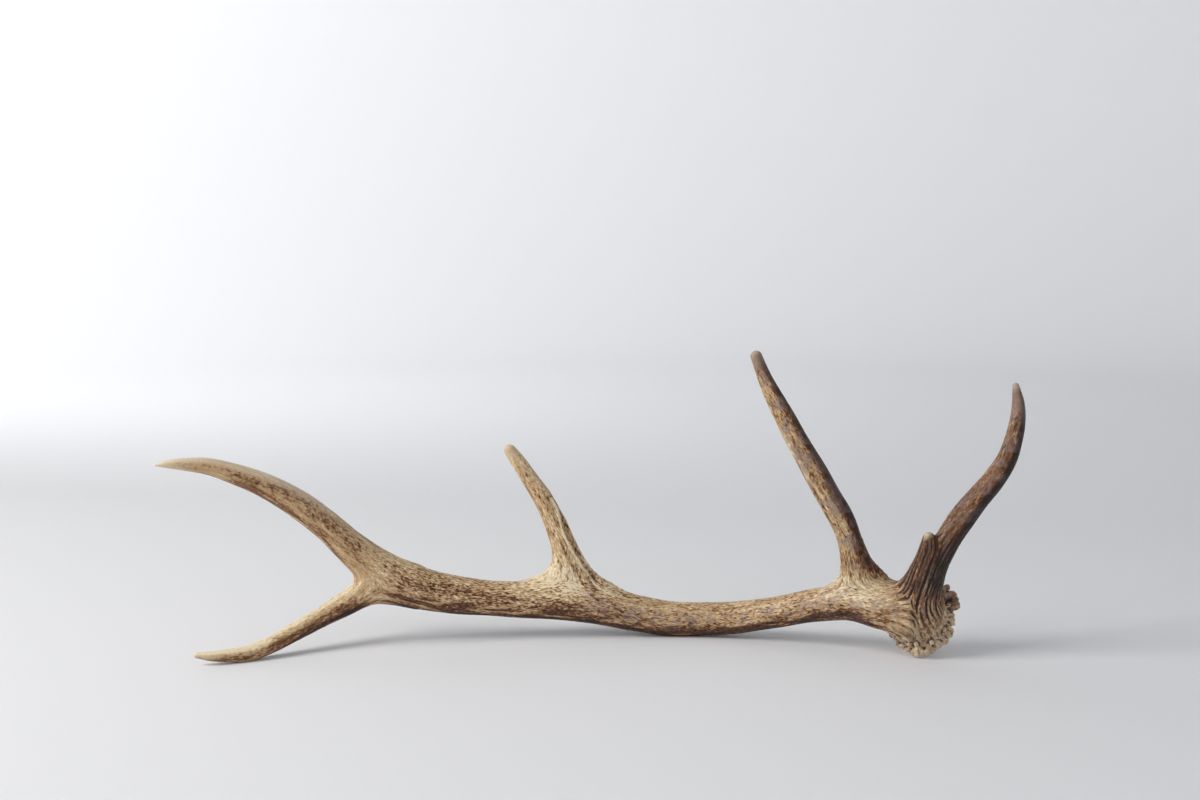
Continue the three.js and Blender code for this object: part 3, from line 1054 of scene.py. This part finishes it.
class Nodes:
    """Short ways to add shader nodes to a material."""

    def __init__(self, name):
        self.material = bpy.data.materials.new(name)
        self.material.use_nodes = True
        self.tree = self.material.node_tree
        self.shader = self.tree.nodes["Principled BSDF"]

    def add(self, kind, inputs=(), **settings):
        node = self.tree.nodes.new(kind)
        for key, value in settings.items():
            setattr(node, key, value)
        for key, value in dict(inputs).items():
            self.put(node.inputs[key], value)
        return node

    def put(self, socket, value):
        if isinstance(value, bpy.types.NodeSocket):
            self.tree.links.new(value, socket)
        else:
            socket.default_value = value

    def attribute(self, name, output="Fac"):
        return self.add("ShaderNodeAttribute", attribute_name=name).outputs[output]

    def math(self, operation, a, b=0.0, clamp=False):
        node = self.add("ShaderNodeMath", {0: a, 1: b}, operation=operation, use_clamp=clamp)
        return node.outputs[0]

    def plus(self, a, b):
        return self.math("ADD", a, b)

    def times(self, a, b):
        return self.math("MULTIPLY", a, b)

    def ramp(self, value, low, high, to_low=0.0, to_high=1.0):
        inputs = {"Value": value, "From Min": low, "From Max": high, "To Min": to_low, "To Max": to_high}
        return self.add("ShaderNodeMapRange", inputs, interpolation_type="SMOOTHSTEP").outputs[0]

    def mix(self, factor, a, b, blend="MIX"):
        inputs = {0: factor, 6: a, 7: b}
        return self.add("ShaderNodeMix", inputs, data_type="RGBA", blend_type=blend).outputs[2]

    def noise(self, vector, stretch, detail=2.0, roughness=0.5):
        scaled = self.add("ShaderNodeVectorMath", {0: vector, 1: stretch}, operation="MULTIPLY").outputs[0]
        inputs = {"Vector": scaled, "Scale": 1.0, "Detail": detail, "Roughness": roughness}
        return self.add("ShaderNodeTexNoise", inputs).outputs["Fac"]

    def combed(self, place, grain, scale, reach, samples):
        """A noise drawn out along the grain: the mean of samples up to reach away along it, both ways."""
        total = 0.0
        for share in np.linspace(-1, 1, samples):
            inputs = {0: grain, 1: (float(share) * reach,) * 3, 2: place}
            moved = self.add("ShaderNodeVectorMath", inputs, operation="MULTIPLY_ADD").outputs[0]
            inputs = {"Vector": moved, "Scale": scale, "Detail": 0.0}
            total = self.plus(self.add("ShaderNodeTexNoise", inputs).outputs["Fac"], total)
        return self.math("DIVIDE", total, float(samples))


def colour(red, green, blue):
    """A colour for a shader from the 0 to 255 numbers of a screen."""
    parts = np.array([red, green, blue]) / 255
    linear = np.where(parts <= 0.04045, parts / 12.92, ((parts + 0.055) / 1.055) ** 2.4)
    return (*linear.tolist(), 1.0)


CREAM = colour(236, 218, 183)
TAN = colour(187, 155, 114)
BROWN = colour(125, 84, 52)
UMBER = colour(76, 44, 26)
DARK = colour(33, 21, 15)
GREY = colour(138, 121, 118)
IVORY = colour(230, 216, 190)


def bone():
    """Antler bone, coloured by the masks that skin() makes.

    shade runs from cream to dark brown, and dark is over a half where a fleck lies. grey, ivory and furrow
    say how grey, how polished and pale, and how deep in a furrow the bone is. wormy is how strongly fine
    lines along the grain mark it. hollow is painted shade, with some dirt, in the hollows, and ridge is a
    painted highlight, with some rubbed wear, on raised spots. shade also holds painted shade and highlight.
    """
    n = Nodes("antler_bone")
    place = n.add("ShaderNodeTexCoord").outputs["Object"]
    grain = n.attribute("grain", "Vector")
    furrow = n.attribute("furrow")
    ivory = n.attribute("ivory")
    fine = n.noise(place, (900, 900, 900), 3, 0.6)
    mottle = n.noise(place, (300, 300, 300), 3, 0.6)
    threads = n.combed(place, grain, 600.0, 0.0011, 3)
    hairs = n.combed(place, grain, 1050.0, 0.0016, 6)

    def about(value, amount):
        """A value from 0 to 1 as a change to both sides, of amount in all."""
        return n.times(n.math("SUBTRACT", value, 0.5), amount)

    worms = n.times(n.attribute("wormy"), n.plus(about(threads, 1.9), about(hairs, 2.0)))
    shade = n.plus(n.attribute("shade"), n.plus(about(fine, 0.5), about(mottle, 0.5)))
    shade = n.plus(shade, worms)
    light = n.mix(n.ramp(shade, -0.34, 0.42), CREAM, TAN)
    warm = n.mix(n.ramp(shade, 0.38, 0.80), light, BROWN)
    deep = n.mix(n.ramp(shade, 0.76, 1.15), warm, UMBER)
    base = n.mix(n.ramp(shade, 1.10, 1.60), deep, DARK)
    base = n.mix(n.times(n.attribute("grey"), 0.6), base, GREY)

    dark = n.plus(n.attribute("dark"), n.plus(about(fine, 0.25), about(threads, 1.1)))
    dark = n.times(n.ramp(dark, 0.42, 0.88), 0.73)
    dark = n.math("MAXIMUM", dark, n.times(furrow, 0.92))
    base = n.mix(dark, base, n.mix(n.ramp(dark, 0.45, 1.0), UMBER, DARK))
    # Painted shade, with some dirt, darkens the hollows. A painted highlight, with some rubbed wear, lightens
    # raised spots.
    base = n.mix(n.times(n.attribute("hollow"), 0.8), base, DARK)
    base = n.mix(n.times(n.attribute("ridge"), 0.5), base, CREAM)
    base = n.mix(n.times(ivory, 0.85), base, IVORY)
    n.put(n.shader.inputs["Base Color"], base)

    rough = n.plus(n.times(mottle, 0.25), 0.36)
    rough = n.plus(rough, n.times(dark, 0.15))
    n.put(n.shader.inputs["Roughness"], n.math("SUBTRACT", rough, n.times(ivory, 0.10)))
    height = n.math("SUBTRACT", n.times(fine, 0.5), n.times(dark, 0.5))
    height = n.plus(height, n.plus(hairs, n.times(threads, 1.5)))
    bump = n.add("ShaderNodeBump", {"Strength": 0.4, "Distance": 0.0006, "Height": height})
    n.put(n.shader.inputs["Normal"], bump.outputs[0])
    n.shader.inputs["Specular IOR Level"].default_value = 0.34
    return n.material


# ---- The antler, the stage and the camera ----

FLOOR_RADIUS = 3.0  # in metres, as are the bend's radius and the wall's height
FLOOR_BEND = 1.0
WALL_HEIGHT = 2.6
FLOOR_SIDES = 96
CAMERA_PLACE = (0.009, -1.701, 0.465)
CAMERA_TILT = 6.84  # how many degrees the camera looks down


def build_antler():
    """The antler's nine pieces, each riding on the one body in place of its CAD node."""
    vertices, quads = surface_net(antler_grid())
    for _ in range(EVENINGS):
        vertices = onto_surface(relaxed(vertices, quads, COARSE_SHARE), quads)
    vertices, quads = split_quads(vertices, quads)
    for _ in range(EVENINGS):
        vertices = onto_surface(relaxed(vertices, quads, FINE_SHARE), quads)
    normals = vertex_normals(vertices, quads)
    height, attributes = skin(vertices, normals, quads)
    vertices = vertices + height[:, None] * normals
    vertices[:, 2] = np.maximum(vertices[:, 2], 0)

    numbers = piece_numbers(vertices[quads].mean(1))
    vertices = snap_to_cuts(vertices, quads, numbers)
    normals = vertex_normals(vertices, quads)
    material = bone()
    for number, name in enumerate(PIECES):
        mesh = build_mesh(name, vertices, normals, quads[numbers == number], attributes)
        mesh.materials.append(material)
        piece = bpy.data.objects.new(f"{name}_bone", mesh)
        bpy.context.scene.collection.objects.link(piece)
        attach(piece, "root")
        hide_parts(name)


def build_stage():
    """A round pale floor that curves up into a pale wall far away on all sides."""
    arc = np.linspace(0, np.pi / 2, 13)
    profile = [(FLOOR_RADIUS * part, 0.0) for part in (0.02, 0.35, 0.7)]
    profile += [*zip(FLOOR_RADIUS + FLOOR_BEND * np.sin(arc), FLOOR_BEND - FLOOR_BEND * np.cos(arc))]
    profile += [(FLOOR_RADIUS + FLOOR_BEND, WALL_HEIGHT)]
    around = np.arange(FLOOR_SIDES) * 2 * np.pi / FLOOR_SIDES
    points = [(r * np.cos(a), r * np.sin(a), z) for r, z in profile for a in around]
    faces = [tuple(range(FLOOR_SIDES))]
    for ring in range(len(profile) - 1):
        for i in range(FLOOR_SIDES):
            a = ring * FLOOR_SIDES + i
            b = ring * FLOOR_SIDES + (i + 1) % FLOOR_SIDES
            faces.append((a, a + FLOOR_SIDES, b + FLOOR_SIDES, b))
    mesh = bpy.data.meshes.new("floor")
    mesh.from_pydata(points, [], faces)
    mesh.polygons.foreach_set("use_smooth", np.ones(len(faces), bool))
    n = Nodes("pale_floor")
    n.shader.inputs["Base Color"].default_value = colour(232, 232, 233)
    n.shader.inputs["Roughness"].default_value = 0.8
    mesh.materials.append(n.material)
    floor = bpy.data.objects.new("floor", mesh)
    bpy.context.scene.collection.objects.link(floor)


def aim(thing, target):
    """Turn a lamp so that it faces a place."""
    thing.rotation_euler = (Vector(target) - thing.location).to_track_quat("-Z", "Y").to_euler()


def add_light(name, place, target, size, power, tint):
    """A soft, oblong lamp that the camera doesn't see."""
    light = bpy.data.lights.new(name, "AREA")
    light.shape = "RECTANGLE"
    light.size, light.size_y = size
    light.energy = power
    light.color = tint
    lamp = bpy.data.objects.new(name, light)
    lamp.location = place
    lamp.visible_camera = False
    bpy.context.scene.collection.objects.link(lamp)
    aim(lamp, target)


def build_lights():
    """A large window-like lamp on the left, a weak fill and a wash on the wall behind, under a pale sky."""
    world = bpy.data.worlds.new("studio")
    world.use_nodes = True
    world.node_tree.nodes["Background"].inputs["Color"].default_value = (0.80, 0.83, 0.88, 1)
    world.node_tree.nodes["Background"].inputs["Strength"].default_value = 0.45
    bpy.context.scene.world = world
    add_light("window", (-2.5, -1.0, 2.0), (0, 0, 0.08), (1.5, 1.5), 77, (1.0, 0.985, 0.96))
    add_light("fill", (1.4, -2.2, 1.5), (0.1, 0, 0.1), (1.6, 1.2), 3, (0.94, 0.97, 1.0))
    add_light("backdrop", (-1.9, 1.6, 1.9), (-1.5, 4.0, 1.3), (2.6, 1.4), 44, (0.98, 0.985, 1.0))


def build_camera():
    """In front of the antler and a little above it, looking down on it as in the photo."""
    camera = bpy.data.objects.new("camera", bpy.data.cameras.new("camera"))
    camera.location = CAMERA_PLACE
    camera.rotation_euler = (np.radians(90 - CAMERA_TILT), 0, 0)
    camera.data.lens = 50
    camera.data.sensor_width = 36
    bpy.context.scene.collection.objects.link(camera)
    bpy.context.scene.camera = camera


build_camera()
build_antler()
build_stage()
build_lights()
bpy.context.scene.view_settings.view_transform = "Standard"
